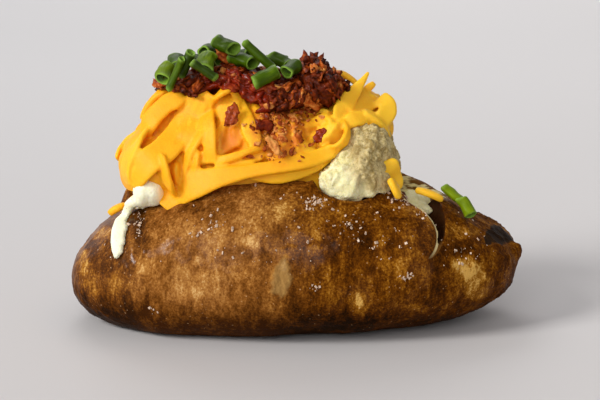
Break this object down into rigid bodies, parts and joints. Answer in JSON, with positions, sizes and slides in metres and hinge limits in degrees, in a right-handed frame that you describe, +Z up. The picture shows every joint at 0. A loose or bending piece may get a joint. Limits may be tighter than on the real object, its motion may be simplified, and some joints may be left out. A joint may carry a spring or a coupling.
{
  "type": "baked potato",
  "caption": "Baked potato slit along its top and filled, heaped with shredded cheese, crumbled bacon and cut green onion.",
  "frame": {"origin": "on the surface that the potato rests on, under the middle of its outline seen from above", "axes": "+X from one end of the potato to the other, towards its narrow end; +Z up; the front is -Y"},
  "size_m": [0.15, 0.0814, 0.0954],
  "materials": {
    "skin": "baked russet skin, rough with an oily sheen",
    "filling": "pale, moist and crumbly",
    "cheese": "satin, slightly waxy",
    "bacon": "crisp and greasy",
    "onion": "fresh, slightly glossy"
  },
  "bodies": {
    "root": {"potato": "skin", "filling": "filling", "cheese_heap": "cheese", "bacon_heap": "bacon", "bacon_bit_01": "bacon", "bacon_bit_02": "bacon", "bacon_bit_03": "bacon", "cheese_shred_01": "cheese", "cheese_shred_02": "cheese", "cheese_shred_03": "cheese", "onion_01": "onion", "onion_02": "onion", "onion_03": "onion", "onion_04": "onion", "onion_05": "onion", "onion_06": "onion", "onion_07": "onion", "onion_08": "onion", "onion_09": "onion", "onion_10": "onion", "onion_11": "onion", "onion_12": "onion", "onion_13": "onion", "onion_14": "onion", "onion_15": "onion", "onion_16": "onion", "onion_17": "onion", "onion_18": "onion"}
  },
  "joints": []
}
